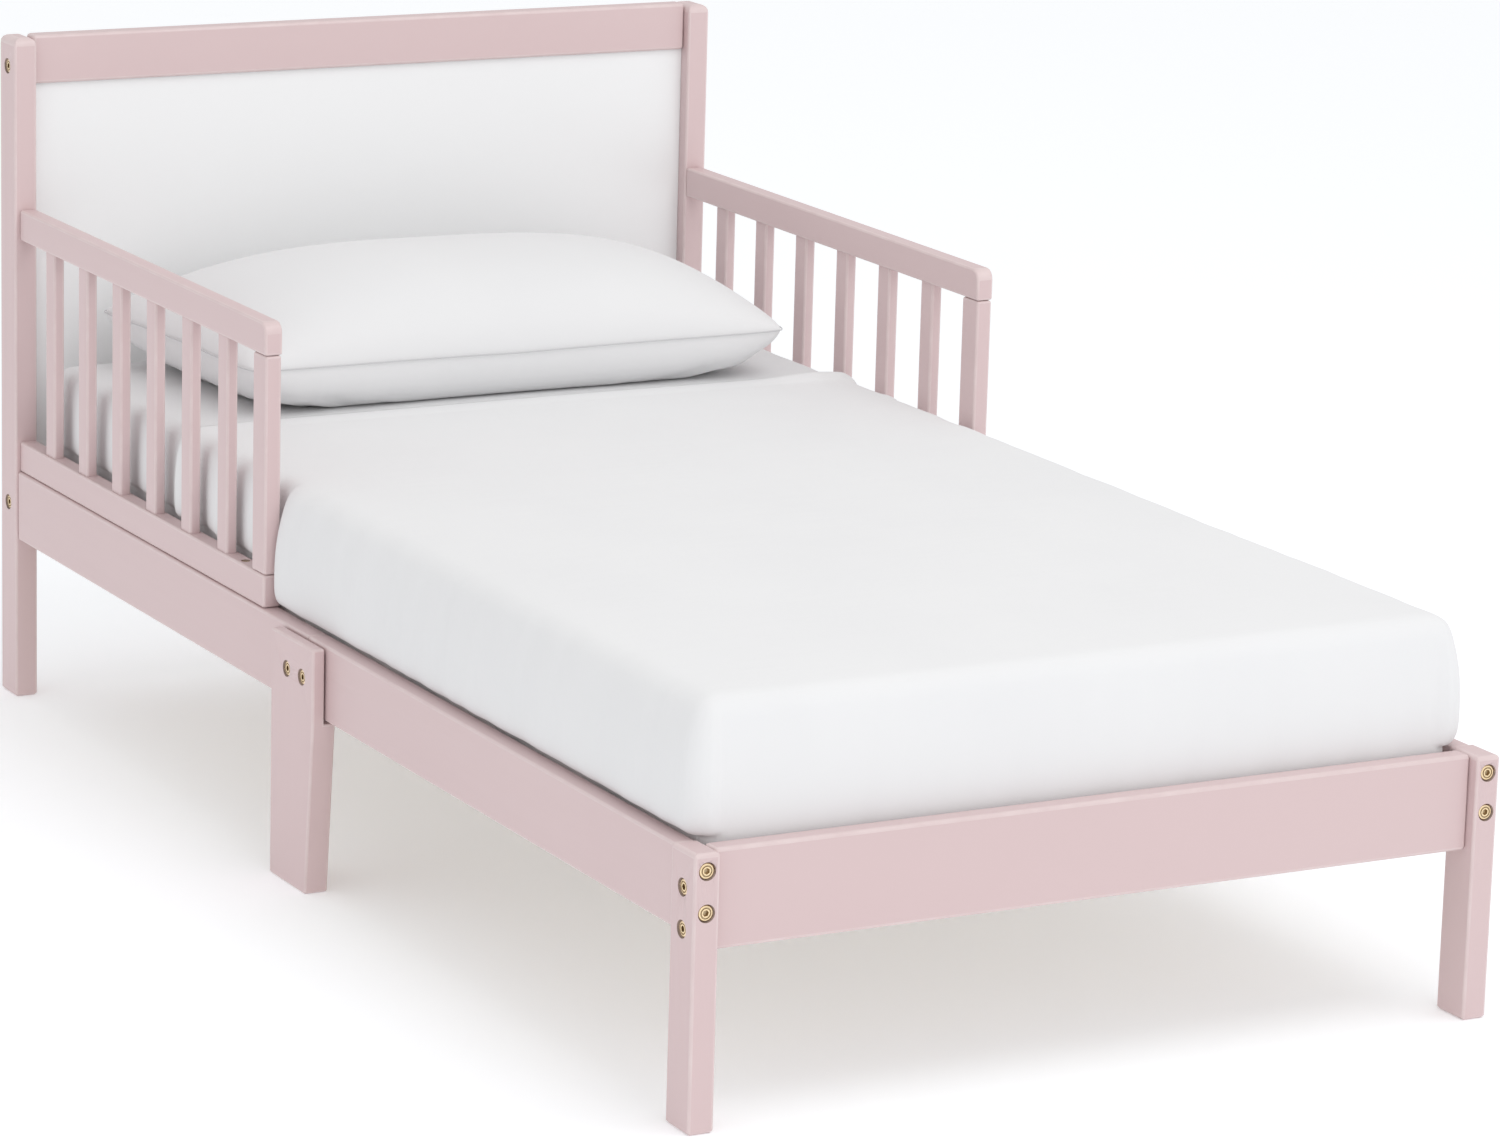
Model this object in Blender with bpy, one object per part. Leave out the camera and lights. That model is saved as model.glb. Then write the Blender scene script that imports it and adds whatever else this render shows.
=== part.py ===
"""Toddler bed: a painted timber frame that bolts together, with a mattress, a top sheet and a pillow.

Metres, +Z up. X runs across the bed, Y along it with the foot end at -Y, and the floor is Z = 0.
The origin is on the floor under the middle of the bed.
"""

import math

import bmesh
import bpy
from mathutils import Vector

# Overall sizes
BED_LENGTH = 1.430        # outer face of the foot posts to outer face of the head posts
POST_SPAN = 0.732         # across the outer faces of the posts
HEAD_HEIGHT = 0.636       # top of the headboard rail
HEAD_POST_DROP = 0.001    # how much lower the head posts end than that rail
FOOT_HEIGHT = 0.222       # top of the foot posts and of the foot rail

# Timber sections
POST_WIDTH = 0.022        # across the bed
POST_DEPTH = 0.038        # along the bed
BOARD_THICKNESS = 0.019   # side rails, foot rail and headboard rails
SIDE_RAIL_HEIGHT = 0.066
FOOT_RAIL_HEIGHT = 0.080
HEAD_TOP_RAIL_HEIGHT = 0.046
RAIL_SETBACK = 0.002      # side rails, in from the posts' outer faces
CROSS_RAIL_SETBACK = 0.0095   # foot and headboard rails, in from the posts' end faces
SIDE_RAIL_TOP = 0.221
EASE = 0.0022             # eased edges
POST_TOP_ROUND = 0.0075   # pillow-shaped ends of the head posts
FOOT_TOP_ROUND = 0.0035

# Headboard panel
PANEL_THICKNESS = 0.008
GROOVE_DEPTH = 0.008
PANEL_CLEARANCE = 0.0003

# Middle legs
LEG_THICKNESS = 0.022
LEG_LIP = 0.0115          # the part of the leg that laps over the side rails
LEG_LIP_CLEARANCE = 0.0014   # between the lip and the side rails
LEG_SHELF_DROP = 0.0020   # below the side rails, which hang on the leg's bolts
LEG_TOP_WIDTH = 0.088
LEG_FOOT_WIDTH = 0.075
LEG_REAR = 0.049          # the leg's straight rear edge, from the middle of the bed
LEG_TOP_DROP = 0.002      # below the top of the side rails

# Guard rails
GUARD_SETBACK = 0.0045    # in from the posts' outer faces
GUARD_THICKNESS = 0.0165
GUARD_FRONT = 0.101       # front end of the guard, from the middle of the bed
GUARD_TOP = 0.473
GUARD_TOP_RAIL_HEIGHT = 0.029
GUARD_BOTTOM_RAIL_HEIGHT = 0.029
GUARD_NOSE = 0.010        # round upper front corner of the top rail
END_POST_WIDTH = 0.028
END_POST_THICKNESS = 0.015
SPINDLE_COUNT = 6
SPINDLE_WIDTH = 0.022
SPINDLE_THICKNESS = 0.0105
SPINDLE_SETBACK = 0.0025  # in from the guard's outer face
TENON_DEPTH = 0.007

# Mattress support
CLEAT_HEIGHT = 0.020
CLEAT_THICKNESS = 0.018
SLAT_COUNT = 7
SLAT_WIDTH = 0.064
SLAT_THICKNESS = 0.010
SLAT_TOP = 0.200
SLAT_END_CLEARANCE = 0.001

# Bedding
MATTRESS_THICKNESS = 0.131
MATTRESS_SIDE_CLEARANCE = 0.0035   # to the side rails
MATTRESS_FOOT_CLEARANCE = 0.009    # to the foot rail
MATTRESS_HEAD_CLEARANCE = 0.039    # to the headboard rails
MATTRESS_ROUND = 0.024
SHEET_THICKNESS = 0.002
SHEET_CLEARANCE = 0.0005
SHEET_UNDER_PILLOW = 0.005   # how far the top sheet reaches past the pillow's front
SHEET_HEM_HEIGHT = 0.010  # hem above the mattress's underside
PILLOW_DEPTH = 0.320
PILLOW_THICKNESS = 0.123
PILLOW_LEFT_MARGIN = 0.0415   # in from the mattress's edges
PILLOW_RIGHT_MARGIN = 0.0415
PILLOW_HEAD_MARGIN = 0.0025
PILLOW_ROUND = 0.038

# Bolts
BOLT_HEAD_RADIUS = 0.0062
BOLT_HEAD_THICKNESS = 0.0030
BOLT_SHANK_RADIUS = 0.0030
BOLT_INTO_RAIL = 0.022    # how far a bolt reaches into an end of a rail
LEG_BOLT_INTO_RAIL = 0.013
SOCKET_RADIUS = 0.0023
SOCKET_DEPTH = 0.0018
COUNTERBORE_CLEARANCE = 0.0009   # round a bolt's head
BOLT_SUNK = 0.0012        # how far a bolt's head lies below the wood
BOLT_CLEARANCE = 0.0004
BOLT_SIDES = 12
FOOT_FRONT_BOLT_DROPS = (0.014, 0.047)   # below the foot post's top, through its front face
FOOT_SIDE_BOLT_DROPS = (0.030, 0.063)    # below the foot post's top, through its side face
HEAD_BOLT_HEIGHTS = (0.188, 0.607)
LEG_BOLT_SPACING = 0.0315
LEG_BOLT_HEIGHT = 0.190

GAP = 0.0003              # between pieces that touch

# Places that follow from the sizes above
HALF_LENGTH = BED_LENGTH / 2
HALF_SPAN = POST_SPAN / 2
POST_INNER = HALF_SPAN - POST_WIDTH
RAIL_OUTER = HALF_SPAN - RAIL_SETBACK
RAIL_INNER = RAIL_OUTER - BOARD_THICKNESS
RAIL_END = HALF_LENGTH - POST_DEPTH - GAP
RAIL_BOTTOM = SIDE_RAIL_TOP - SIDE_RAIL_HEIGHT
LEG_OUTER = RAIL_OUTER + LEG_LIP_CLEARANCE + LEG_LIP
GUARD_OUTER = HALF_SPAN - GUARD_SETBACK
GUARD_INNER = GUARD_OUTER - GUARD_THICKNESS
GUARD_BASE = SIDE_RAIL_TOP + GAP
GUARD_RAIL_TOP = GUARD_BASE + GUARD_BOTTOM_RAIL_HEIGHT
GUARD_UNDER = GUARD_TOP - GUARD_TOP_RAIL_HEIGHT
CROSS_OUTER = HALF_LENGTH - CROSS_RAIL_SETBACK
CROSS_INNER = CROSS_OUTER - BOARD_THICKNESS
CROSS_MIDDLE = (CROSS_OUTER + CROSS_INNER) / 2
FOOT_RAIL_BOTTOM = FOOT_HEIGHT - FOOT_RAIL_HEIGHT
HEAD_RAIL_BOTTOM = HEAD_HEIGHT - HEAD_TOP_RAIL_HEIGHT
CLEAT_TOP = SLAT_TOP - SLAT_THICKNESS - GAP
MATTRESS_BOTTOM = SLAT_TOP + GAP
MATTRESS_TOP = MATTRESS_BOTTOM + MATTRESS_THICKNESS
MATTRESS_SIDE = RAIL_INNER - MATTRESS_SIDE_CLEARANCE
MATTRESS_FOOT = -CROSS_INNER + MATTRESS_FOOT_CLEARANCE
MATTRESS_HEAD = CROSS_INNER - MATTRESS_HEAD_CLEARANCE
PILLOW_HEAD = MATTRESS_HEAD - PILLOW_HEAD_MARGIN
PILLOW_FRONT = PILLOW_HEAD - PILLOW_DEPTH
COUNTERBORE_RADIUS = BOLT_HEAD_RADIUS + COUNTERBORE_CLEARANCE
COUNTERBORE_DEPTH = BOLT_SUNK + BOLT_HEAD_THICKNESS + GAP
SIDES = (("left", -1.0), ("right", 1.0))
ALONG_Y = Vector((0.0, 1.0, 0.0))

PINK = (0.640, 0.485, 0.475, 1.0)
WHITE = (0.830, 0.830, 0.820, 1.0)
BRASS = (0.720, 0.510, 0.240, 1.0)
PINE = (0.720, 0.560, 0.380, 1.0)
COTTON = (0.850, 0.850, 0.860, 1.0)


def clear_scene():
    for old in list(bpy.data.objects):
        bpy.data.objects.remove(old)


def finish(name, colour, roughness, metallic):
    """A plain paint, cloth or metal."""
    material = bpy.data.materials.new(name)
    material.use_nodes = True
    shader = material.node_tree.nodes["Principled BSDF"]
    shader.inputs["Base Color"].default_value = colour
    shader.inputs["Roughness"].default_value = roughness
    shader.inputs["Metallic"].default_value = metallic
    return material


def to_object(name, mesh_data, material):
    """Puts a bmesh into the scene as one named object."""
    bmesh.ops.recalc_face_normals(mesh_data, faces=mesh_data.faces)
    mesh = bpy.data.meshes.new(name)
    mesh_data.to_mesh(mesh)
    mesh_data.free()
    piece = bpy.data.objects.new(name, mesh)
    bpy.context.scene.collection.objects.link(piece)
    if material:
        mesh.materials.append(material)
    return piece


def box_mesh(low, high):
    """A box between two corners."""
    shape = bmesh.new()
    bmesh.ops.create_cube(shape, size=1.0)
    low, high = Vector(low), Vector(high)
    bmesh.ops.scale(shape, vec=high - low, verts=shape.verts)
    bmesh.ops.translate(shape, vec=(low + high) / 2, verts=shape.verts)
    return shape


def board(name, low, high, material, ease=EASE, segments=2):
    """A board between two corners, with every edge eased."""
    shape = box_mesh(low, high)
    if ease:
        bmesh.ops.bevel(shape, geom=shape.edges[:], offset=ease, segments=segments,
                        profile=0.5, affect="EDGES")
    return to_object(name, shape, material)


def mirrored(low, high, side):
    """The same corners on the left (-1) or the right (+1) of the bed."""
    if side > 0:
        return low, high
    return (-high[0], low[1], low[2]), (-low[0], high[1], high[2])


def cut(piece, cutters):
    """Takes each cutter out of the piece."""
    for cutter in cutters:
        cutter.hide_render = True
        cutter.display_type = "WIRE"
        difference = piece.modifiers.new("cut_" + cutter.name, "BOOLEAN")
        difference.operation = "DIFFERENCE"
        difference.solver = "EXACT"
        difference.object = cutter


def outline(half_x, half_y, radius, steps=3):
    """A rectangle with round corners, as points round the origin."""
    points = []
    for corner, (sx, sy) in enumerate(((1, 1), (-1, 1), (-1, -1), (1, -1))):
        for step in range(steps + 1):
            turn = math.pi / 2 * (corner + step / steps)
            points.append((sx * (half_x - radius) + radius * math.cos(turn),
                           sy * (half_y - radius) + radius * math.sin(turn)))
    return points


def loft(rings):
    """A closed solid through rings of the same number of points."""
    shape = bmesh.new()
    loops = [[shape.verts.new(point) for point in ring] for ring in rings]
    for lower, upper in zip(loops, loops[1:]):
        for i, point in enumerate(lower):
            j = (i + 1) % len(lower)
            shape.faces.new((point, lower[j], upper[j], upper[i]))
    shape.faces.new(list(reversed(loops[0])))
    shape.faces.new(loops[-1])
    return shape


def post(name, middle_x, middle_y, height, top_round, material):
    """A square-cut leg post with eased corners and a rounded top."""
    least = 0.0004
    arc_steps = 4
    levels = [(0.0, EASE), (EASE, 0.0)]
    for step in range(arc_steps + 1):
        turn = math.pi / 2 * step / arc_steps
        levels.append((height - top_round + top_round * math.sin(turn),
                       top_round * (1 - math.cos(turn))))
    rings = []
    for level, inset in levels:
        corner = max(EASE - inset, least)
        rings.append([(middle_x + x, middle_y + y, level) for x, y in
                      outline(POST_WIDTH / 2 - inset, POST_DEPTH / 2 - inset, corner)])
    return to_object(name, loft(rings), material)


def bolt_profile(length):
    """Radius and distance from the head's top face, from the shank's end to the head."""
    chamfer = 0.0008
    dome = 0.0007
    return [(BOLT_SHANK_RADIUS - chamfer, length),
            (BOLT_SHANK_RADIUS, length - chamfer),
            (BOLT_SHANK_RADIUS, BOLT_HEAD_THICKNESS),
            (BOLT_HEAD_RADIUS, BOLT_HEAD_THICKNESS),
            (BOLT_HEAD_RADIUS, dome),
            (BOLT_HEAD_RADIUS - dome, 0.0)]


def turned_ring(radius, distance, axis, face, across, up, hexagon=False):
    """Points of one ring round a bolt or a hole; the socket's rings are hexagons."""
    ring = []
    for i in range(BOLT_SIDES):
        turn = 2 * math.pi * (i + 0.5) / BOLT_SIDES
        reach = radius
        if hexagon:
            off_corner = (turn + math.pi / 6) % (math.pi / 3) - math.pi / 6
            reach = radius * math.cos(math.pi / 6) / math.cos(math.pi / 6 - abs(off_corner))
        ring.append(face + axis * distance
                    + across * (reach * math.cos(turn)) + up * (reach * math.sin(turn)))
    return ring


def bolt_frame(axis):
    up = Vector((0.0, 0.0, 1.0))
    return axis.cross(up), up


def bolt(name, face, axis, length, material):
    """A socket-head furniture bolt. It starts below the face it is driven into."""
    across, up = bolt_frame(axis)
    top = face + axis * BOLT_SUNK
    rings = [turned_ring(radius, distance, axis, top, across, up)
             for radius, distance in bolt_profile(length)]
    rings.append(turned_ring(SOCKET_RADIUS, 0.0, axis, top, across, up, hexagon=True))
    rings.append(turned_ring(SOCKET_RADIUS, SOCKET_DEPTH, axis, top, across, up, hexagon=True))
    return to_object(name, loft(rings), material)


def bolt_hole(name, face, axis, length):
    """The counterbored hole that such a bolt sits in, as a cutter."""
    across, up = bolt_frame(axis)
    proud = 0.002
    shank = BOLT_SHANK_RADIUS + BOLT_CLEARANCE
    end = BOLT_SUNK + length + 2 * BOLT_CLEARANCE
    profile = [(COUNTERBORE_RADIUS, -proud), (COUNTERBORE_RADIUS, COUNTERBORE_DEPTH),
               (shank, COUNTERBORE_DEPTH), (shank, end)]
    rings = [turned_ring(radius, distance, axis, face, across, up)
             for radius, distance in profile]
    return to_object(name, loft(rings), None)


def bolted(name, face, direction, through, into, pieces, material):
    """A bolt, and the hole for it cut through every piece that it holds."""
    face, axis = Vector(face), Vector(direction)
    length = through - BOLT_SUNK + into
    bolt(name, face, axis, length, material)
    hole = bolt_hole("cutter_" + name, face, axis, length)
    for piece in pieces:
        cut(piece, [hole])


def spindle_fronts():
    """The front edge of each guard spindle: equal gaps from the end post to the head post."""
    first = GUARD_FRONT + END_POST_WIDTH
    last = HALF_LENGTH - POST_DEPTH
    space = (last - first - SPINDLE_COUNT * SPINDLE_WIDTH) / (SPINDLE_COUNT + 1)
    return [first + space + i * (space + SPINDLE_WIDTH) for i in range(SPINDLE_COUNT)]


def make_headboard(paint, white):
    """Two tall posts, a top and a lower rail, and the panel held in grooves between them."""
    pieces = {}
    post_middle_y = HALF_LENGTH - POST_DEPTH / 2
    for side_name, side in SIDES:
        pieces["post_" + side_name] = post(
            "head_post_" + side_name, side * (HALF_SPAN - POST_WIDTH / 2), post_middle_y,
            HEAD_HEIGHT - HEAD_POST_DROP, POST_TOP_ROUND, paint)
    rail_end = POST_INNER - GAP
    pieces["top"] = board("head_top_rail", (-rail_end, CROSS_INNER, HEAD_RAIL_BOTTOM),
                          (rail_end, CROSS_OUTER, HEAD_HEIGHT), paint, ease=0.003)
    pieces["lower"] = board("head_lower_rail", (-rail_end, CROSS_INNER, FOOT_RAIL_BOTTOM),
                            (rail_end, CROSS_OUTER, FOOT_HEIGHT), paint)
    reach = GROOVE_DEPTH - PANEL_CLEARANCE
    panel_low = CROSS_MIDDLE - PANEL_THICKNESS / 2
    panel_high = CROSS_MIDDLE + PANEL_THICKNESS / 2
    board("head_panel", (-POST_INNER - reach, panel_low, FOOT_HEIGHT - reach),
          (POST_INNER + reach, panel_high, HEAD_RAIL_BOTTOM + reach), white, ease=0)
    groove = board("cutter_panel_groove",
                   (-POST_INNER - GROOVE_DEPTH, panel_low - PANEL_CLEARANCE,
                    FOOT_HEIGHT - GROOVE_DEPTH),
                   (POST_INNER + GROOVE_DEPTH, panel_high + PANEL_CLEARANCE,
                    HEAD_RAIL_BOTTOM + GROOVE_DEPTH), None, ease=0)
    for piece in pieces.values():
        cut(piece, [groove])
    return pieces


def make_foot_end(paint):
    """Two short posts and the rail between them."""
    pieces = {}
    post_middle_y = -HALF_LENGTH + POST_DEPTH / 2
    for side_name, side in SIDES:
        pieces["post_" + side_name] = post(
            "foot_post_" + side_name, side * (HALF_SPAN - POST_WIDTH / 2), post_middle_y,
            FOOT_HEIGHT, FOOT_TOP_ROUND, paint)
    rail_end = POST_INNER - GAP
    pieces["rail"] = board("foot_rail", (-rail_end, -CROSS_OUTER, FOOT_RAIL_BOTTOM),
                           (rail_end, -CROSS_INNER, FOOT_HEIGHT), paint, ease=0.003)
    return pieces


def make_side_rails(side_name, side, paint):
    """Each side is two rails that meet behind the middle leg."""
    rear_low, rear_high = mirrored((RAIL_INNER, GAP / 2, RAIL_BOTTOM),
                                   (RAIL_OUTER, RAIL_END, SIDE_RAIL_TOP), side)
    front_low, front_high = mirrored((RAIL_INNER, -RAIL_END, RAIL_BOTTOM),
                                     (RAIL_OUTER, -GAP / 2, SIDE_RAIL_TOP), side)
    rear = board("rear_side_rail_" + side_name, rear_low, rear_high, paint)
    front = board("front_side_rail_" + side_name, front_low, front_high, paint)
    return rear, front


def make_middle_leg(side_name, side, paint):
    """A flat leg, rebated so that its lip laps the rails, with its shelf close under them."""
    shelf = RAIL_BOTTOM - LEG_SHELF_DROP
    lip_top = SIDE_RAIL_TOP - LEG_TOP_DROP
    lip_inner = LEG_OUTER - LEG_LIP
    inner = LEG_OUTER - LEG_THICKNESS
    section = [(LEG_OUTER, 0.0), (LEG_OUTER, shelf), (LEG_OUTER, lip_top),
               (lip_inner, lip_top), (lip_inner, shelf), (inner, shelf), (inner, 0.0)]
    front = LEG_REAR - LEG_TOP_WIDTH
    foot_front = LEG_REAR - LEG_FOOT_WIDTH
    shape = bmesh.new()
    rings = []
    for is_front in (False, True):
        ring = []
        for x, z in section:
            y = LEG_REAR if not is_front else (foot_front if z == 0.0 else front)
            ring.append(shape.verts.new((side * x, y, z)))
        rings.append(ring)
    for i in range(len(section)):
        j = (i + 1) % len(section)
        shape.faces.new((rings[0][i], rings[0][j], rings[1][j], rings[1][i]))
    shape.faces.new(rings[0])
    shape.faces.new(rings[1])
    bmesh.ops.recalc_face_normals(shape, faces=shape.faces)
    sharp = math.radians(40)
    outer_edges = [edge for edge in shape.edges if edge.calc_face_angle_signed() > sharp]
    bmesh.ops.bevel(shape, geom=outer_edges, offset=EASE, segments=2, profile=0.5,
                    affect="EDGES")
    return to_object("middle_leg_" + side_name, shape, paint)


def make_guard(side_name, side, paint):
    """A guard rail: a bottom rail, a top rail with a round nose, an end post and spindles."""
    rear = HALF_LENGTH - POST_DEPTH - GAP
    low, high = mirrored((GUARD_INNER, GUARD_FRONT, GUARD_BASE),
                         (GUARD_OUTER, rear, GUARD_RAIL_TOP), side)
    bottom_rail = board("guard_bottom_rail_" + side_name, low, high, paint)
    top_rail = make_guard_top_rail(side_name, side, rear, paint)
    middle = (GUARD_OUTER + GUARD_INNER) / 2
    low, high = mirrored(
        (middle - END_POST_THICKNESS / 2, GUARD_FRONT, GUARD_RAIL_TOP + GAP),
        (middle + END_POST_THICKNESS / 2, GUARD_FRONT + END_POST_WIDTH, GUARD_UNDER - GAP),
        side)
    board("guard_end_post_" + side_name, low, high, paint)
    outer = GUARD_OUTER - SPINDLE_SETBACK
    reach = TENON_DEPTH - GAP
    for i, front in enumerate(spindle_fronts()):
        number = str(i + 1)
        low, high = mirrored(
            (outer - SPINDLE_THICKNESS, front, GUARD_RAIL_TOP - reach),
            (outer, front + SPINDLE_WIDTH, GUARD_UNDER + reach), side)
        board("guard_spindle_" + side_name + "_" + number, low, high, paint)
        spread = Vector((GAP, GAP, GAP))
        mortise = board("cutter_mortise_" + side_name + "_" + number,
                        Vector(low) - spread, Vector(high) + spread, None,
                        ease=EASE + GAP)
        cut(bottom_rail, [mortise])
        cut(top_rail, [mortise])


def make_guard_top_rail(side_name, side, rear, paint):
    low, high = mirrored((GUARD_INNER, GUARD_FRONT, GUARD_UNDER),
                         (GUARD_OUTER, rear, GUARD_TOP), side)
    shape = box_mesh(low, high)
    nose = [edge for edge in shape.edges
            if all(abs(v.co.y - low[1]) < GAP and abs(v.co.z - high[2]) < GAP
                   for v in edge.verts)]
    bmesh.ops.bevel(shape, geom=nose, offset=GUARD_NOSE, segments=4, profile=0.5,
                    affect="EDGES")
    sharp = math.radians(40)
    rest = [edge for edge in shape.edges if edge.calc_face_angle() > sharp]
    bmesh.ops.bevel(shape, geom=rest, offset=EASE, segments=2, profile=0.5, affect="EDGES")
    return to_object("guard_top_rail_" + side_name, shape, paint)


def make_support(pine):
    """Cleats along the side rails, and the slats that lie across them."""
    cleat_outer = RAIL_INNER - GAP
    for side_name, side in SIDES:
        low, high = mirrored(
            (cleat_outer - CLEAT_THICKNESS, -RAIL_END, CLEAT_TOP - CLEAT_HEIGHT),
            (cleat_outer, RAIL_END, CLEAT_TOP), side)
        board("mattress_cleat_" + side_name, low, high, pine, ease=0.001, segments=1)
    half = RAIL_INNER - SLAT_END_CLEARANCE
    spacing = 2 * (CROSS_INNER - SLAT_WIDTH) / SLAT_COUNT
    for i in range(SLAT_COUNT):
        middle = (i - (SLAT_COUNT - 1) / 2) * spacing
        board("mattress_slat_" + str(i + 1),
              (-half, middle - SLAT_WIDTH / 2, SLAT_TOP - SLAT_THICKNESS),
              (half, middle + SLAT_WIDTH / 2, SLAT_TOP), pine, ease=0.001, segments=1)


def make_bedding(cotton):
    """The mattress in its fitted cover, the top sheet drawn over it, and the pillow."""
    low = Vector((-MATTRESS_SIDE, MATTRESS_FOOT, MATTRESS_BOTTOM))
    high = Vector((MATTRESS_SIDE, MATTRESS_HEAD, MATTRESS_TOP))
    board("mattress", low, high, cotton, ease=MATTRESS_ROUND, segments=3)
    inside = SHEET_CLEARANCE
    outside = SHEET_CLEARANCE + SHEET_THICKNESS
    spread = Vector((1.0, 1.0, 1.0))
    sheet = board("top_sheet", low - spread * outside, high + spread * outside, cotton,
                  ease=MATTRESS_ROUND + outside, segments=3)
    hollow = board("cutter_sheet_hollow", low - spread * inside, high + spread * inside, None,
                   ease=MATTRESS_ROUND + inside, segments=3)
    far = 1.0
    edge = PILLOW_FRONT + SHEET_UNDER_PILLOW
    head_side = board("cutter_sheet_head", (-far, edge, 0.0), (far, far, far), None, ease=0)
    underside = board("cutter_sheet_underside", (-far, -far, 0.0),
                      (far, far, MATTRESS_BOTTOM + SHEET_HEM_HEIGHT), None,
                      ease=0)
    cut(sheet, [hollow, head_side, underside])
    base = MATTRESS_TOP + GAP
    board("pillow", (-MATTRESS_SIDE + PILLOW_LEFT_MARGIN, PILLOW_FRONT, base),
          (MATTRESS_SIDE - PILLOW_RIGHT_MARGIN, PILLOW_HEAD, base + PILLOW_THICKNESS),
          cotton, ease=PILLOW_ROUND, segments=3)


def bolt_together(head, foot, rails, legs, brass):
    """Every bolt that shows: foot posts front and side, middle legs, head posts."""
    for side_name, side in SIDES:
        inward = (-side, 0.0, 0.0)
        post_x = side * (HALF_SPAN - POST_WIDTH / 2)
        foot_post = foot["post_" + side_name]
        rear, front = rails[side_name]
        for i, drop in enumerate(FOOT_FRONT_BOLT_DROPS):
            bolted("foot_front_bolt_" + side_name + "_" + str(i + 1),
                   (post_x, -HALF_LENGTH, FOOT_HEIGHT - drop), ALONG_Y, POST_DEPTH,
                   BOLT_INTO_RAIL, [foot_post, front], brass)
        for i, drop in enumerate(FOOT_SIDE_BOLT_DROPS):
            bolted("foot_side_bolt_" + side_name + "_" + str(i + 1),
                   (side * HALF_SPAN, -CROSS_MIDDLE, FOOT_HEIGHT - drop), inward,
                   POST_WIDTH, BOLT_INTO_RAIL, [foot_post, foot["rail"]], brass)
        for end, rail, name in ((1.0, rear, "rear"), (-1.0, front, "front")):
            bolted("leg_bolt_" + side_name + "_" + name,
                   (side * LEG_OUTER, end * LEG_BOLT_SPACING / 2, LEG_BOLT_HEIGHT), inward,
                   LEG_LIP, LEG_BOLT_INTO_RAIL, [legs[side_name], rail], brass)
        for height, rail, name in zip(HEAD_BOLT_HEIGHTS, (head["lower"], head["top"]),
                                      ("lower", "upper")):
            bolted("head_bolt_" + side_name + "_" + name,
                   (side * HALF_SPAN, CROSS_MIDDLE, height), inward, POST_WIDTH,
                   BOLT_INTO_RAIL, [head["post_" + side_name], rail], brass)


def build():
    clear_scene()
    paint = finish("blush_paint", PINK, 0.45, 0.0)
    white = finish("white_panel", WHITE, 0.40, 0.0)
    brass = finish("brass", BRASS, 0.30, 1.0)
    pine = finish("bare_pine", PINE, 0.60, 0.0)
    cotton = finish("white_cotton", COTTON, 0.90, 0.0)
    head = make_headboard(paint, white)
    foot = make_foot_end(paint)
    rails = {}
    legs = {}
    for side_name, side in SIDES:
        rails[side_name] = make_side_rails(side_name, side, paint)
        legs[side_name] = make_middle_leg(side_name, side, paint)
        make_guard(side_name, side, paint)
    make_support(pine)
    make_bedding(cotton)
    bolt_together(head, foot, rails, legs, brass)


build()
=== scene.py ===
import math

import bpy
from mathutils import Matrix, Vector, noise


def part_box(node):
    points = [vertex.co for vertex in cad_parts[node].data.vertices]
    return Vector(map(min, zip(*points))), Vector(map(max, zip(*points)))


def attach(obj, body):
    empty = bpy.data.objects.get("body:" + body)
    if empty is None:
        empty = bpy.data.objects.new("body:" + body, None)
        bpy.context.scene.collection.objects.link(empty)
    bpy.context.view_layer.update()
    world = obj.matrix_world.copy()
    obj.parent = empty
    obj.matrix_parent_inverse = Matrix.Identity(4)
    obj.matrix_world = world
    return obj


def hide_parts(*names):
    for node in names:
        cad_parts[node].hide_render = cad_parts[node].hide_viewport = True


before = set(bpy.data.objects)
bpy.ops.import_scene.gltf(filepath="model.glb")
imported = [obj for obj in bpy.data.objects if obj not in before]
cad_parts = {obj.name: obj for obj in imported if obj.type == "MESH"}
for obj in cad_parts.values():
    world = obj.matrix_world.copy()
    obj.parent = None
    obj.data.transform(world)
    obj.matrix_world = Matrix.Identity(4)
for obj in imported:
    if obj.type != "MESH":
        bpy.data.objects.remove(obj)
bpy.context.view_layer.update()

# The room: a pale floor that runs out of sight, an even white sky and two wide soft lamps, one
# overhead and one far off the foot end. A long lens looks down on the bed's left foot corner.
scene = bpy.context.scene
scene.view_settings.view_transform = "Standard"

camera_data = bpy.data.cameras.new("camera")
camera_data.lens = 141.7
camera_data.shift_y = -0.0053
camera_data.clip_end = 200.0
camera = bpy.data.objects.new("camera", camera_data)
camera.location = (-2.3585, -4.4573, 1.4735)
camera.rotation_euler = (math.radians(76.392), math.radians(-1.558), math.radians(-28.127))
scene.collection.objects.link(camera)
scene.camera = camera

sky = bpy.data.worlds.new("studio_white")
sky.use_nodes = True
sky.node_tree.nodes["Background"].inputs["Color"].default_value = (1.0, 1.0, 1.0, 1.0)
sky.node_tree.nodes["Background"].inputs["Strength"].default_value = 0.80
scene.world = sky


def soft_lamp(name, location, target, width, height, power):
    """A wide studio softbox that points at a place."""
    lamp_data = bpy.data.lights.new(name, "AREA")
    lamp_data.shape = "RECTANGLE"
    lamp_data.size = width
    lamp_data.size_y = height
    lamp_data.energy = power
    lamp = bpy.data.objects.new(name, lamp_data)
    lamp.location = location
    towards = Vector(target) - Vector(location)
    lamp.rotation_euler = towards.to_track_quat("-Z", "Y").to_euler()
    scene.collection.objects.link(lamp)


soft_lamp("lamp_over_bed", (0.3, -1.2, 2.6), (0.0, 0.6, 0.3), 2.0, 1.6, 17.0)
soft_lamp("lamp_off_foot", (0.0, -11.0, 5.0), (0.0, 0.0, 0.3), 6.0, 5.0, 110.0)

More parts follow.
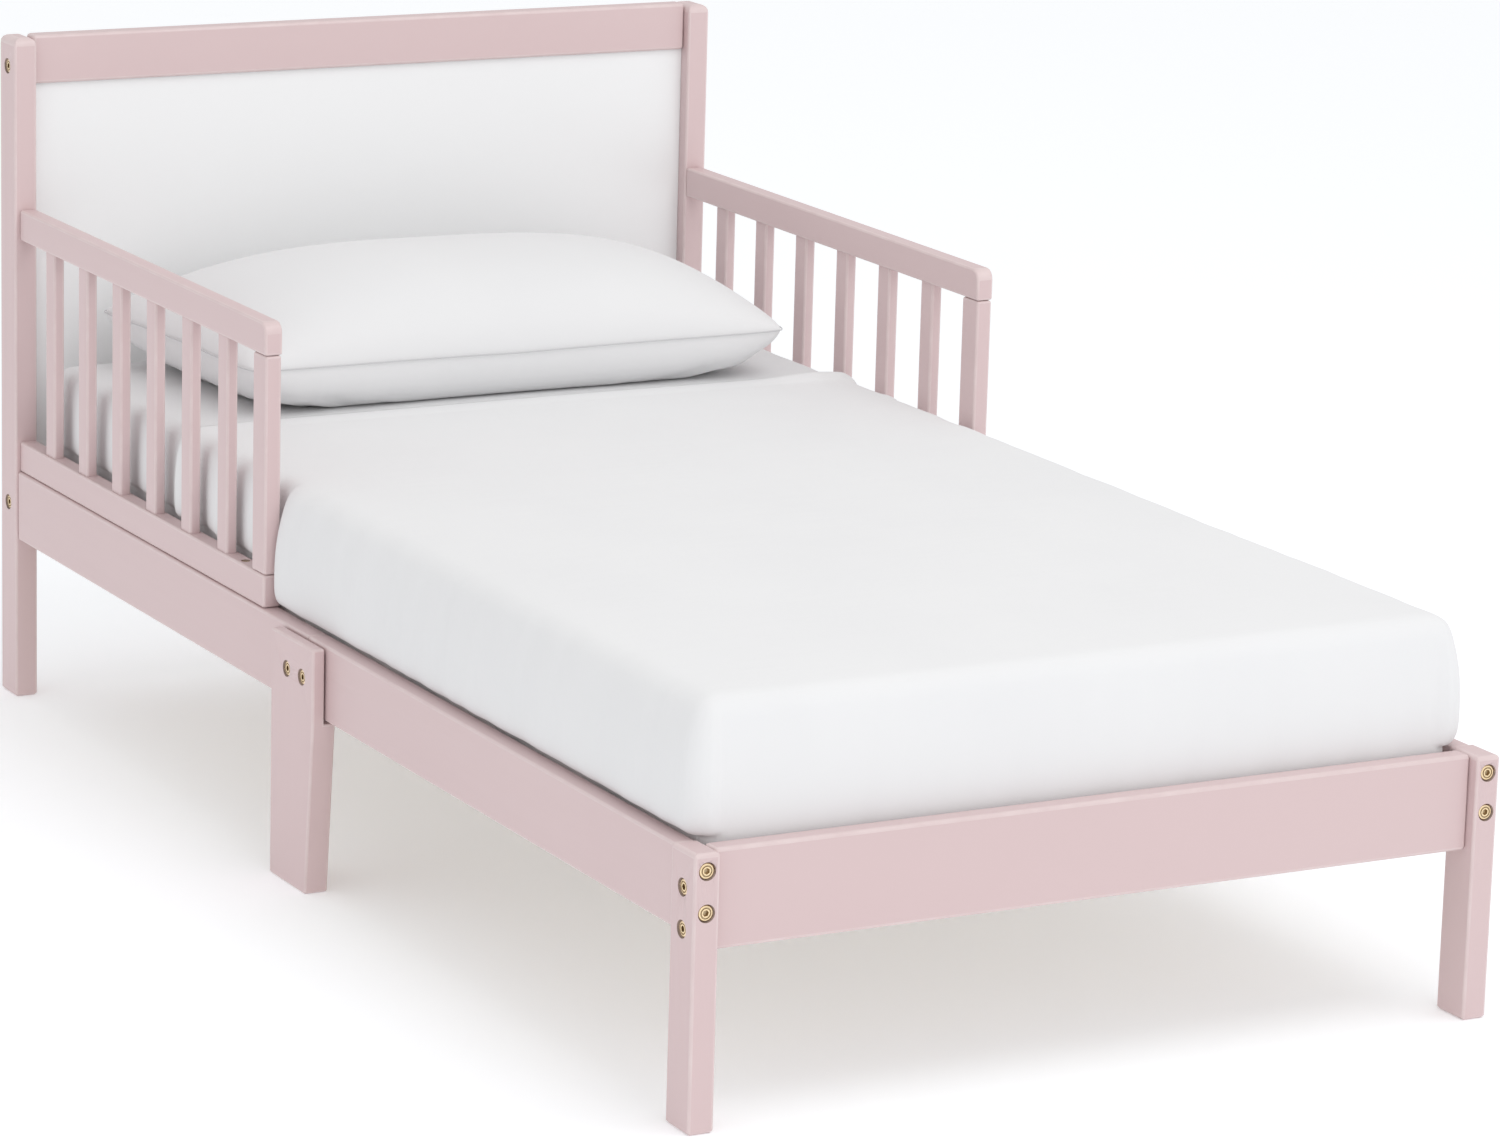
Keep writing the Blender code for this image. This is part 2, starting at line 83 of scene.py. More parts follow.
bpy.ops.object.select_all(action="DESELECT")
bpy.ops.mesh.primitive_plane_add(size=60.0, location=(0.0, 0.0, 0.0))
floor = bpy.context.object
floor.name = "studio_floor"
floor_paper = bpy.data.materials.new("floor_paper")
floor_paper.use_nodes = True
paper_shader = floor_paper.node_tree.nodes["Principled BSDF"]
paper_shader.inputs["Base Color"].default_value = (0.918, 0.938, 0.960, 1.0)
paper_shader.inputs["Emission Color"].default_value = (1.0, 1.0, 1.0, 1.0)
paper_shader.inputs["Emission Strength"].default_value = 0.21
paper_shader.inputs["Roughness"].default_value = 0.9
paper_shader.inputs["Specular IOR Level"].default_value = 0.1
floor.data.materials.append(floor_paper)


# Painted timber: poplar posts, rails, legs and guards, planed, eased along every edge, and sprayed
# a satin blush-pink that the grain just shows in. The eased edges are painted paler in a speckle,
# a painted highlight where the paint also thins, and the walls of the bolt holes are painted dark
# brown as painted shade.
def blush_paint(name, grain):
    """Satin paint. The grain runs along the axis that has the smallest number in grain."""
    paint = bpy.data.materials.new(name)
    paint.use_nodes = True
    nodes = paint.node_tree.nodes
    links = paint.node_tree.links
    shader = nodes["Principled BSDF"]
    shader.inputs["Coat Weight"].default_value = 0.12
    shader.inputs["Coat Roughness"].default_value = 0.30
    place = nodes.new("ShaderNodeTexCoord")

    tint = nodes.new("ShaderNodeTexNoise")
    tint.inputs["Scale"].default_value = 3.5
    tint.inputs["Detail"].default_value = 3.0
    links.new(place.outputs["Object"], tint.inputs["Vector"])
    shade = nodes.new("ShaderNodeMix")
    shade.data_type = "RGBA"
    shade.inputs["A"].default_value = (0.655, 0.500, 0.503, 1.0)
    shade.inputs["B"].default_value = (0.690, 0.535, 0.537, 1.0)
    links.new(tint.outputs["Fac"], shade.inputs["Factor"])

    # The eased edges are painted paler in a speckle: a painted highlight, where the paint also
    # thins.
    edge_highlight_mask = nodes.new("ShaderNodeAttribute")
    edge_highlight_mask.attribute_name = "eased_edge_highlight"
    speckle = nodes.new("ShaderNodeTexNoise")
    speckle.inputs["Scale"].default_value = 45.0
    speckle.inputs["Detail"].default_value = 4.0
    links.new(place.outputs["Object"], speckle.inputs["Vector"])
    edge_highlight_share = nodes.new("ShaderNodeMath")
    edge_highlight_share.operation = "MULTIPLY"
    links.new(edge_highlight_mask.outputs["Fac"], edge_highlight_share.inputs[0])
    links.new(speckle.outputs["Fac"], edge_highlight_share.inputs[1])
    painted_edge_highlight = nodes.new("ShaderNodeMix")
    painted_edge_highlight.data_type = "RGBA"
    painted_edge_highlight.inputs["B"].default_value = (0.775, 0.655, 0.645, 1.0)
    links.new(edge_highlight_share.outputs["Value"], painted_edge_highlight.inputs["Factor"])
    links.new(shade.outputs["Result"], painted_edge_highlight.inputs["A"])
    # The walls of the bolt holes are painted dark brown: painted shade in the recesses.
    bored_out = nodes.new("ShaderNodeAttribute")
    bored_out.attribute_name = "shaded_bore_wall"
    painted_bore_shade = nodes.new("ShaderNodeMix")
    painted_bore_shade.data_type = "RGBA"
    painted_bore_shade.inputs["B"].default_value = (0.40, 0.28, 0.22, 1.0)
    links.new(bored_out.outputs["Fac"], painted_bore_shade.inputs["Factor"])
    links.new(painted_edge_highlight.outputs["Result"], painted_bore_shade.inputs["A"])
    links.new(painted_bore_shade.outputs["Result"], shader.inputs["Base Color"])

    stretch = nodes.new("ShaderNodeMapping")
    stretch.inputs["Scale"].default_value = grain
    links.new(place.outputs["Object"], stretch.inputs["Vector"])
    fibres = nodes.new("ShaderNodeTexNoise")
    fibres.inputs["Scale"].default_value = 9.0
    fibres.inputs["Detail"].default_value = 5.0
    fibres.inputs["Roughness"].default_value = 0.6
    links.new(stretch.outputs["Vector"], fibres.inputs["Vector"])
    sheen = nodes.new("ShaderNodeMapRange")
    sheen.inputs["To Min"].default_value = 0.36
    sheen.inputs["To Max"].default_value = 0.50
    links.new(fibres.outputs["Fac"], sheen.inputs["Value"])
    links.new(sheen.outputs["Result"], shader.inputs["Roughness"])

    peel = nodes.new("ShaderNodeTexNoise")
    peel.inputs["Scale"].default_value = 420.0
    peel.inputs["Detail"].default_value = 2.0
    links.new(place.outputs["Object"], peel.inputs["Vector"])
    grain_relief = nodes.new("ShaderNodeBump")
    grain_relief.inputs["Strength"].default_value = 0.10
    grain_relief.inputs["Distance"].default_value = 0.0004
    links.new(fibres.outputs["Fac"], grain_relief.inputs["Height"])
    spray_relief = nodes.new("ShaderNodeBump")
    spray_relief.inputs["Strength"].default_value = 0.08
    spray_relief.inputs["Distance"].default_value = 0.0002
    links.new(peel.outputs["Fac"], spray_relief.inputs["Height"])
    links.new(grain_relief.outputs["Normal"], spray_relief.inputs["Normal"])
    links.new(spray_relief.outputs["Normal"], shader.inputs["Normal"])
    return paint


paint_across = blush_paint("blush_paint_grain_across", (0.6, 14.0, 14.0))
paint_along = blush_paint("blush_paint_grain_along", (14.0, 0.6, 14.0))
paint_upright = blush_paint("blush_paint_grain_upright", (14.0, 14.0, 0.6))


def select_only(piece):
    bpy.ops.object.select_all(action="DESELECT")
    piece.select_set(True)
    bpy.context.view_layer.objects.active = piece


DRILL_PROUD = 0.004      # how far the drill stands out of the face it bores
WELD = 0.00001           # corners closer than this are one
SQUARE_ON = 0.985        # a face that leans further from square than this is an eased edge
PAST_FACE = 0.0002       # a bore's wall starts this far below the face
BORE_SLACK = 0.0005      # and ends this far past its depth
WALL_SLACK = 1.02        # and lies within this many times its radius


def bored(piece, centre, axis, radius, depth):
    """Bores a round hole of that depth into the piece from a point on its face."""
    bpy.ops.object.select_all(action="DESELECT")
    bpy.ops.mesh.primitive_cylinder_add(
        vertices=48, radius=radius, depth=depth + DRILL_PROUD,
        location=Vector(centre) + Vector(axis) * (depth - DRILL_PROUD) / 2,
        rotation=Vector(axis).to_track_quat("Z", "Y").to_euler())
    drill = bpy.context.object
    hole = piece.modifiers.new("hole", "BOOLEAN")
    hole.operation = "DIFFERENCE"
    hole.solver = "EXACT"
    hole.object = drill
    select_only(piece)
    bpy.ops.object.modifier_apply(modifier=hole.name)
    bpy.data.objects.remove(drill)


def timber(node, finish, holes=()):
    """A board or post as planed: welded into one skin, bored, shaded round over its eased edges."""
    piece = bpy.data.objects.new("painted_" + node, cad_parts[node].data.copy())
    scene.collection.objects.link(piece)
    piece.data.materials.clear()
    piece.data.materials.append(finish)
    select_only(piece)
    bpy.ops.object.mode_set(mode="EDIT")
    bpy.ops.mesh.select_all(action="SELECT")
    bpy.ops.mesh.remove_doubles(threshold=WELD)
    bpy.ops.object.mode_set(mode="OBJECT")
    for centre, axis, radius, depth in holes:
        bored(piece, centre, axis, radius, depth)
    inside_bore = set()
    for centre, axis, radius, depth in holes:
        for face in piece.data.polygons:
            reach = face.center - Vector(centre)
            inward = reach.dot(Vector(axis))
            off_axis = (reach - Vector(axis) * inward).length
            if PAST_FACE < inward < depth + BORE_SLACK and off_axis < radius * WALL_SLACK:
                inside_bore.add(face.index)
    # Faces of the eased edges carry the painted highlight.
    eased = piece.data.attributes.new("eased_edge_highlight", "FLOAT", "FACE")
    for face in piece.data.polygons:
        slanted = max(abs(n) for n in face.normal) < SQUARE_ON
        eased.data[face.index].value = 1.0 if slanted and face.index not in inside_bore else 0.0
    # The faces of the bore walls carry the painted shade.
    shaded_bore_wall = piece.data.attributes.new("shaded_bore_wall", "FLOAT", "FACE")
    for index in inside_bore:
        shaded_bore_wall.data[index].value = 1.0
    select_only(piece)
    bpy.ops.object.shade_smooth_by_angle(angle=math.radians(38))
    weighted = piece.modifiers.new("flat_faces", "WEIGHTED_NORMAL")
    weighted.keep_sharp = True
    bpy.ops.object.modifier_apply(modifier=weighted.name)
    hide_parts(node)
    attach(piece, "frame")


# Bolts: brass-plated furniture bolts with a flat round head and a hexagon socket, which sit in
# counterbores a little under the paint and pull the posts, rails and legs together.
brass = bpy.data.materials.new("brass_plate")
brass.use_nodes = True
brass_nodes = brass.node_tree.nodes
brass_links = brass.node_tree.links
brass_shader = brass_nodes["Principled BSDF"]
brass_shader.inputs["Metallic"].default_value = 1.0
brass_place = brass_nodes.new("ShaderNodeTexCoord")
brass_cloud = brass_nodes.new("ShaderNodeTexNoise")
brass_cloud.inputs["Scale"].default_value = 260.0
brass_cloud.inputs["Detail"].default_value = 4.0
brass_links.new(brass_place.outputs["Object"], brass_cloud.inputs["Vector"])
brass_tone = brass_nodes.new("ShaderNodeMix")
brass_tone.data_type = "RGBA"
brass_tone.inputs["A"].default_value = (0.86, 0.64, 0.37, 1.0)
brass_tone.inputs["B"].default_value = (0.98, 0.81, 0.55, 1.0)
brass_links.new(brass_cloud.outputs["Fac"], brass_tone.inputs["Factor"])
# The turned ring and the socket are painted dark brown: painted shade in the recesses.
brass_recess = brass_nodes.new("ShaderNodeAttribute")
brass_recess.attribute_name = "recess_shade"
brass_recess_shade = brass_nodes.new("ShaderNodeMix")
brass_recess_shade.data_type = "RGBA"
brass_recess_shade.inputs["B"].default_value = (0.13, 0.075, 0.035, 1.0)
brass_links.new(brass_recess.outputs["Fac"], brass_recess_shade.inputs["Factor"])
brass_links.new(brass_tone.outputs["Result"], brass_recess_shade.inputs["A"])
brass_links.new(brass_recess_shade.outputs["Result"], brass_shader.inputs["Base Color"])
brass_haze = brass_nodes.new("ShaderNodeMapRange")
brass_haze.inputs["To Min"].default_value = 0.22
brass_haze.inputs["To Max"].default_value = 0.42
brass_links.new(brass_cloud.outputs["Fac"], brass_haze.inputs["Value"])
brass_links.new(brass_haze.outputs["Result"], brass_shader.inputs["Roughness"])

BOLT_HEAD = 0.0062
HEAD_THICKNESS = 0.0030
HEAD_EDGE = 0.0007       # the round on the head's rim
RIM_WIDTH = 0.0008       # from the rim to the turned ring
RING_SLOPE = 0.0003
RING_FLOOR = 0.0006
RING_DEPTH = 0.0006
SOCKET_RADIUS = 0.0027
SHANK_RADIUS = 0.0030
SHANK_LENGTH = 0.018
# The turned ring and the socket are painted darker from this deep, as painted shade.
SHADED_BELOW = 0.00025  # the ring and the socket are darker from this deep
BORE_RADIUS = 0.0073
BORE_DEPTH = 0.0046


def select_faces(piece, wanted):
    """Leaves only the faces that fit selected, in edit mode."""
    bpy.ops.object.mode_set(mode="OBJECT")
    for face in piece.data.polygons:
        face.select = wanted(face)
    for edge in piece.data.edges:
        edge.select = False
    for vertex in piece.data.vertices:
        vertex.select = False
    bpy.ops.object.mode_set(mode="EDIT")
    bpy.ops.mesh.select_mode(type="FACE")


def model_bolt():
    """One bolt: its head's top face at the origin, and its shank down -Z."""
    bpy.ops.object.select_all(action="DESELECT")
    bpy.ops.mesh.primitive_cylinder_add(vertices=48, radius=BOLT_HEAD, depth=HEAD_THICKNESS,
                                        location=(0.0, 0.0, -HEAD_THICKNESS / 2))
    head = bpy.context.object
    bpy.ops.object.transform_apply(location=True, rotation=True, scale=True)
    select_faces(head, lambda face: face.normal.z > 0.9)
    bpy.ops.mesh.bevel(offset=HEAD_EDGE, segments=3, affect="EDGES")
    select_faces(head, lambda face: face.normal.z > 0.99)
    bpy.ops.mesh.inset(thickness=RIM_WIDTH)
    bpy.ops.mesh.inset(thickness=RING_SLOPE, depth=-RING_DEPTH)
    bpy.ops.mesh.inset(thickness=RING_FLOOR)
    bpy.ops.mesh.inset(thickness=RING_SLOPE, depth=RING_DEPTH)
    select_faces(head, lambda face: face.normal.z < -0.99)
    bpy.ops.mesh.inset(thickness=BOLT_HEAD - SHANK_RADIUS)
    bpy.ops.mesh.extrude_region_move(
        TRANSFORM_OT_translate={"value": (0.0, 0.0, -SHANK_LENGTH)})
    bpy.ops.object.mode_set(mode="OBJECT")
    bpy.ops.object.select_all(action="DESELECT")
    bpy.ops.mesh.primitive_cylinder_add(vertices=6, radius=SOCKET_RADIUS, depth=0.006,
                                        location=(0.0, 0.0, 0.001))
    key = bpy.context.object
    socket = head.modifiers.new("socket", "BOOLEAN")
    socket.operation = "DIFFERENCE"
    socket.solver = "EXACT"
    socket.object = key
    select_only(head)
    bpy.ops.object.modifier_apply(modifier=socket.name)
    bpy.data.objects.remove(key)
    bpy.ops.object.shade_smooth_by_angle(angle=math.radians(35))
    # Faces of the ring and the socket carry the painted shade.
    recess_shade = head.data.attributes.new("recess_shade", "FLOAT", "FACE")
    for face in head.data.polygons:
        off_axis = math.hypot(face.center.x, face.center.y)
        recessed = face.center.z < -SHADED_BELOW and off_axis < BOLT_HEAD - RIM_WIDTH
        recess_shade.data[face.index].value = 0.6 if recessed else 0.0
    head.data.materials.clear()
    head.data.materials.append(brass)
    return head


pattern_bolt = model_bolt()
bolt_mesh = pattern_bolt.data
bpy.data.objects.remove(pattern_bolt)


def place_bolt(name, top, axis, turn):
    """Sets a copy of the bolt with its head's top at a point, driven along the axis."""
    mesh = bolt_mesh.copy()
    aim = (-Vector(axis)).to_track_quat("Z", "Y").to_matrix().to_4x4()
    mesh.transform(Matrix.Translation(top) @ aim @ Matrix.Rotation(turn, 4, "Z"))
    piece = bpy.data.objects.new(name, mesh)
    scene.collection.objects.link(piece)
    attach(piece, "frame")
    return piece


def bolt_facts(node):
    """Where a CAD bolt's head faces: the middle of its top face, and the way it is driven."""
    low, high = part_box(node)
    middle = (low + high) / 2
    size = high - low
    along = max(range(3), key=lambda i: size[i])
    if along == 1:
        return Vector((middle.x, low.y, middle.z)), Vector((0.0, 1.0, 0.0))
    outer = low.x if middle.x < 0 else high.x
    return Vector((outer, middle.y, middle.z)), Vector((-math.copysign(1.0, middle.x), 0.0, 0.0))


BOLT_SUNK = 0.0012
bores = {}
bolt_nodes = sorted(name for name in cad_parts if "_bolt_" in name)
for number, node in enumerate(bolt_nodes):
    head_top, drive = bolt_facts(node)
    bolt = place_bolt("brass_" + node, head_top, drive, number * 0.7)
    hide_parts(node)
    bores[node] = (head_top - drive * BOLT_SUNK, drive, BORE_RADIUS, BORE_DEPTH)


def bores_for(*starts):
    return [bores[node] for node in bolt_nodes if node.startswith(starts)]


# Foot end: two short posts with eased tops and a rail between them, which the front bolts draw
# onto the side rails and the side bolts draw onto the posts.
for side in ("left", "right"):
    timber("foot_post_" + side, paint_upright,
           bores_for("foot_front_bolt_" + side, "foot_side_bolt_" + side))
timber("foot_rail", paint_across)

# Headboard: two tall posts with pillow-shaped tops, a top rail and a lower rail, grooved all round
# for the panel. Bolts come in from the sides into the rails, and from behind into the side rails.
for side in ("left", "right"):
    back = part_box("head_post_" + side)[1].y
    rear_bores = []
    for number, node in enumerate(("foot_front_bolt_" + side + "_1",
                                   "foot_front_bolt_" + side + "_2")):
        head_top = bolt_facts(node)[0]
        face = Vector((head_top.x, back, head_top.z))
        rear_bores.append((face, (0.0, -1.0, 0.0), BORE_RADIUS, BORE_DEPTH))
        place_bolt("brass_head_rear_bolt_" + side + "_" + str(number + 1),
                   face + Vector((0.0, -BOLT_SUNK, 0.0)), (0.0, -1.0, 0.0), number * 0.9)
    timber("head_post_" + side, paint_upright, bores_for("head_bolt_" + side) + rear_bores)
timber("head_top_rail", paint_across)
timber("head_lower_rail", paint_across)

# Headboard panel: an 8 mm board, faced in smooth satin white, that floats in the grooves.
panel_white = bpy.data.materials.new("satin_white_face")
panel_white.use_nodes = True
white_nodes = panel_white.node_tree.nodes
white_links = panel_white.node_tree.links
white_shader = white_nodes["Principled BSDF"]
white_place = white_nodes.new("ShaderNodeTexCoord")
white_cloud = white_nodes.new("ShaderNodeTexNoise")
white_cloud.inputs["Scale"].default_value = 2.5
white_cloud.inputs["Detail"].default_value = 3.0
white_links.new(white_place.outputs["Object"], white_cloud.inputs["Vector"])
white_tone = white_nodes.new("ShaderNodeMix")
white_tone.data_type = "RGBA"
white_tone.inputs["A"].default_value = (0.86, 0.865, 0.87, 1.0)
white_tone.inputs["B"].default_value = (0.90, 0.902, 0.905, 1.0)
white_links.new(white_cloud.outputs["Fac"], white_tone.inputs["Factor"])
white_links.new(white_tone.outputs["Result"], white_shader.inputs["Base Color"])
white_gloss = white_nodes.new("ShaderNodeMapRange")
white_gloss.inputs["To Min"].default_value = 0.34
white_gloss.inputs["To Max"].default_value = 0.44
white_links.new(white_cloud.outputs["Fac"], white_gloss.inputs["Value"])
white_links.new(white_gloss.outputs["Result"], white_shader.inputs["Roughness"])
white_peel = white_nodes.new("ShaderNodeTexNoise")
white_peel.inputs["Scale"].default_value = 380.0
white_links.new(white_place.outputs["Object"], white_peel.inputs["Vector"])
white_relief = white_nodes.new("ShaderNodeBump")
white_relief.inputs["Strength"].default_value = 0.05
white_relief.inputs["Distance"].default_value = 0.0002
white_links.new(white_peel.outputs["Fac"], white_relief.inputs["Height"])
white_links.new(white_relief.outputs["Normal"], white_shader.inputs["Normal"])
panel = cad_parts["head_panel"]
panel.data.materials.clear()
panel.data.materials.append(panel_white)

# Side rails: two boards to a side, which meet behind the middle leg.
for side in ("left", "right"):
    timber("rear_side_rail_" + side, paint_along)
    timber("front_side_rail_" + side, paint_along)

# Middle legs: flat boards, rebated so that a lip laps the outside of both side rails, with a shelf
# close under them. One bolt goes into each rail, and the front edge tapers to the floor.
for side in ("left", "right"):
    timber("middle_leg_" + side, paint_upright, bores_for("leg_bolt_" + side))

# Guard rails: a bottom rail screwed down on the side rail, a top rail with a round nose, an end
# post, and spindles let into both rails.
SCREW_HEAD = 0.0036
SCREW_BORE = 0.0042
SCREW_BORE_DEPTH = 0.004
SCREW_SUNK = 0.001
SPINDLES = 6
for side in ("left", "right"):
    low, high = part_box("guard_bottom_rail_" + side)
    spindle_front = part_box("guard_spindle_" + side + "_1")[0].y
    post_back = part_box("guard_end_post_" + side)[1].y
    screw_place = Vector(((low.x + high.x) / 2, (post_back + spindle_front) / 2, high.z))
    timber("guard_bottom_rail_" + side, paint_along,
           [(screw_place, (0.0, 0.0, -1.0), SCREW_BORE, SCREW_BORE_DEPTH)])
    screw = place_bolt("brass_guard_screw_" + side, (0.0, 0.0, 0.0), (0.0, 0.0, -1.0), 0.4)
    shrink = SCREW_HEAD / BOLT_HEAD
    screw.data.transform(Matrix.Translation(screw_place + Vector((0.0, 0.0, -SCREW_SUNK)))
                         @ Matrix.Scale(shrink, 4))
    timber("guard_top_rail_" + side, paint_along)
    timber("guard_end_post_" + side, paint_upright)
    for number in range(1, SPINDLES + 1):
        timber("guard_spindle_" + side + "_" + str(number), paint_upright)

# Mattress support: bare pine cleats glued and screwed along the side rails, and pine slats laid
# across them. The grain runs the length of each board.
def bare_pine(name, grain, across):
    """Planed pine. The grain runs along the axis that has the smallest number in grain, and the
    rings are bands along the axis named by across."""
    pine = bpy.data.materials.new(name)
    pine.use_nodes = True
    nodes = pine.node_tree.nodes
    links = pine.node_tree.links
    shader = nodes["Principled BSDF"]
    shader.inputs["Roughness"].default_value = 0.62
    place = nodes.new("ShaderNodeTexCoord")
    stretch = nodes.new("ShaderNodeMapping")
    stretch.inputs["Scale"].default_value = grain
    links.new(place.outputs["Object"], stretch.inputs["Vector"])
    rings = nodes.new("ShaderNodeTexWave")
    rings.wave_type = "BANDS"
    rings.bands_direction = across
    rings.inputs["Scale"].default_value = 2.2
    rings.inputs["Distortion"].default_value = 5.0
    rings.inputs["Detail"].default_value = 3.0
    links.new(stretch.outputs["Vector"], rings.inputs["Vector"])
    tone = nodes.new("ShaderNodeMix")
    tone.data_type = "RGBA"
    tone.inputs["A"].default_value = (0.77, 0.63, 0.45, 1.0)
    tone.inputs["B"].default_value = (0.65, 0.49, 0.32, 1.0)
    links.new(rings.outputs["Fac"], tone.inputs["Factor"])
    links.new(tone.outputs["Result"], shader.inputs["Base Color"])
    relief = nodes.new("ShaderNodeBump")
    relief.inputs["Strength"].default_value = 0.15
    relief.inputs["Distance"].default_value = 0.0005
    links.new(rings.outputs["Fac"], relief.inputs["Height"])
    links.new(relief.outputs["Normal"], shader.inputs["Normal"])
    return pine


slat_pine = bare_pine("bare_pine_slats", (1.2, 10.0, 10.0), "Y")
cleat_pine = bare_pine("bare_pine_cleats", (10.0, 1.2, 10.0), "X")
for node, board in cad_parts.items():
    if node.startswith(("mattress_slat_", "mattress_cleat_")):
        board.data.materials.clear()
        board.data.materials.append(slat_pine if "_slat_" in node else cleat_pine)


# Mattress: a foam or fibre core in a white cotton fitted sheet. Its faces crown a little and its
# sides belly out over the side rails. The sheet hangs in slight vertical puckers at the sides.
def cotton(name, low_tone, high_tone, crease, crease_scale, crease_strength):
    """Plain-woven cotton. crease stretches the small wrinkles, and the weave is under 1 mm."""
    cloth = bpy.data.materials.new(name)
    cloth.use_nodes = True
    nodes = cloth.node_tree.nodes
    links = cloth.node_tree.links
    shader = nodes["Principled BSDF"]
    shader.inputs["Sheen Weight"].default_value = 0.15
    shader.inputs["Sheen Roughness"].default_value = 0.5
    shader.inputs["Specular IOR Level"].default_value = 0.25
    place = nodes.new("ShaderNodeTexCoord")
    cloud = nodes.new("ShaderNodeTexNoise")
    cloud.inputs["Scale"].default_value = 7.0
    cloud.inputs["Detail"].default_value = 4.0
    links.new(place.outputs["Object"], cloud.inputs["Vector"])
    tone = nodes.new("ShaderNodeMix")
    tone.data_type = "RGBA"
    tone.inputs["A"].default_value = low_tone
    tone.inputs["B"].default_value = high_tone
    links.new(cloud.outputs["Fac"], tone.inputs["Factor"])
    links.new(tone.outputs["Result"], shader.inputs["Base Color"])
    nap = nodes.new("ShaderNodeMapRange")
    nap.inputs["To Min"].default_value = 0.80
    nap.inputs["To Max"].default_value = 0.95
    links.new(cloud.outputs["Fac"], nap.inputs["Value"])
    links.new(nap.outputs["Result"], shader.inputs["Roughness"])
    stretch = nodes.new("ShaderNodeMapping")
    stretch.inputs["Scale"].default_value = crease
    links.new(place.outputs["Object"], stretch.inputs["Vector"])
    wrinkle = nodes.new("ShaderNodeTexNoise")
    wrinkle.inputs["Scale"].default_value = crease_scale
    wrinkle.inputs["Detail"].default_value = 3.0
    wrinkle.inputs["Roughness"].default_value = 0.45
    links.new(stretch.outputs["Vector"], wrinkle.inputs["Vector"])
    wrinkle_relief = nodes.new("ShaderNodeBump")
    wrinkle_relief.inputs["Strength"].default_value = crease_strength
    wrinkle_relief.inputs["Distance"].default_value = 0.002
    links.new(wrinkle.outputs["Fac"], wrinkle_relief.inputs["Height"])
    weave = nodes.new("ShaderNodeTexNoise")
    weave.inputs["Scale"].default_value = 1400.0
    weave.inputs["Detail"].default_value = 1.0
    links.new(place.outputs["Object"], weave.inputs["Vector"])
    weave_relief = nodes.new("ShaderNodeBump")
    weave_relief.inputs["Strength"].default_value = 0.18
    weave_relief.inputs["Distance"].default_value = 0.0002
    links.new(weave.outputs["Fac"], weave_relief.inputs["Height"])
    links.new(wrinkle_relief.outputs["Normal"], weave_relief.inputs["Normal"])
    links.new(weave_relief.outputs["Normal"], shader.inputs["Normal"])
    return cloth


fitted_cotton = cotton("fitted_sheet_cotton", (0.75, 0.75, 0.76, 1.0), (0.79, 0.79, 0.795, 1.0),
                       (6.0, 30.0, 3.0), 2.0, 0.35)


def swell(piece, pressure, frames, reach, pins=""):
    """Blows a closed skin out like a stuffed cover, and lets no point move further than reach."""
    start = [vertex.co.copy() for vertex in piece.data.vertices]
    filling = piece.modifiers.new("filling", "CLOTH")
    filling.settings.quality = 5
    filling.settings.use_pressure = True
    filling.settings.uniform_pressure_force = pressure
    filling.settings.effector_weights.gravity = 0.0
    filling.settings.vertex_group_mass = pins
    filling.point_cache.frame_start = 1
    filling.point_cache.frame_end = frames
    for frame_number in range(1, frames + 1):
        scene.frame_set(frame_number)
    select_only(piece)
    bpy.ops.object.modifier_apply(modifier=filling.name)
    scene.frame_set(1)
    for vertex, was in zip(piece.data.vertices, start):
        moved = vertex.co - was
        if moved.length > reach:
            vertex.co = was + moved * (reach / moved.length)


def subdivided(piece):
    finer = piece.modifiers.new("finer", "SUBSURF")
    finer.levels = 1
    finer.render_levels = 1
    select_only(piece)
    bpy.ops.object.modifier_apply(modifier=finer.name)


mattress_low, mattress_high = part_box("mattress")
mattress_size = mattress_high - mattress_low
mattress_middle = (mattress_low + mattress_high) / 2
SWELL = 0.002
CORNER = 0.013
GRID = 0.012
bpy.ops.object.select_all(action="DESELECT")
bpy.ops.mesh.primitive_cube_add(size=1.0, location=mattress_middle,
                                scale=mattress_size - Vector((1.0, 1.0, 1.0)) * 2 * SWELL)
mattress = bpy.context.object
mattress.name = "sheeted_mattress"
bpy.ops.object.transform_apply(location=True, rotation=True, scale=True)
bpy.ops.object.mode_set(mode="EDIT")
bpy.ops.mesh.select_all(action="SELECT")
bpy.ops.mesh.bevel(offset=CORNER, segments=4, affect="EDGES")
for axis in range(3):
    flat = mattress_size[axis] - 2 * (CORNER + SWELL)
    rows = round(flat / GRID)
    across = Vector([1.0 if other == axis else 0.0 for other in range(3)])
    for row in range(1, rows):
        bpy.ops.mesh.select_all(action="SELECT")
        bpy.ops.mesh.bisect(plane_co=mattress_middle + across * flat * (row / rows - 0.5),
                            plane_no=across)
bpy.ops.object.mode_set(mode="OBJECT")
swell(mattress, 4.0, 20, SWELL)

# The sides belly out over the top of the side rails and round the corners. Beside the guards the
# spindles and the end post hold them back, and they push out a little between the spindles.
guard_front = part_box("guard_end_post_left")[0].y
guard_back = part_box("guard_end_post_left")[1].y
rail_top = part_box("front_side_rail_left")[1].z + 0.0035
guard_rail_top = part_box("guard_bottom_rail_left")[1].z + 0.003
select_only(mattress)
bpy.ops.object.mode_set(mode="EDIT")
for base, rise in ((rail_top, 0.001), (rail_top, 0.003), (rail_top, 0.006),
                   (guard_rail_top, 0.001), (guard_rail_top, 0.004)):
    bpy.ops.mesh.select_all(action="SELECT")
    bpy.ops.mesh.bisect(plane_co=(0.0, 0.0, base + rise), plane_no=(0.0, 0.0, 1.0))
for short_of_guard in (0.003, 0.006, 0.010, 0.015):
    bpy.ops.mesh.select_all(action="SELECT")
    bpy.ops.mesh.bisect(plane_co=(0.0, guard_front - short_of_guard, 0.0), plane_no=(0.0, 1.0, 0.0))
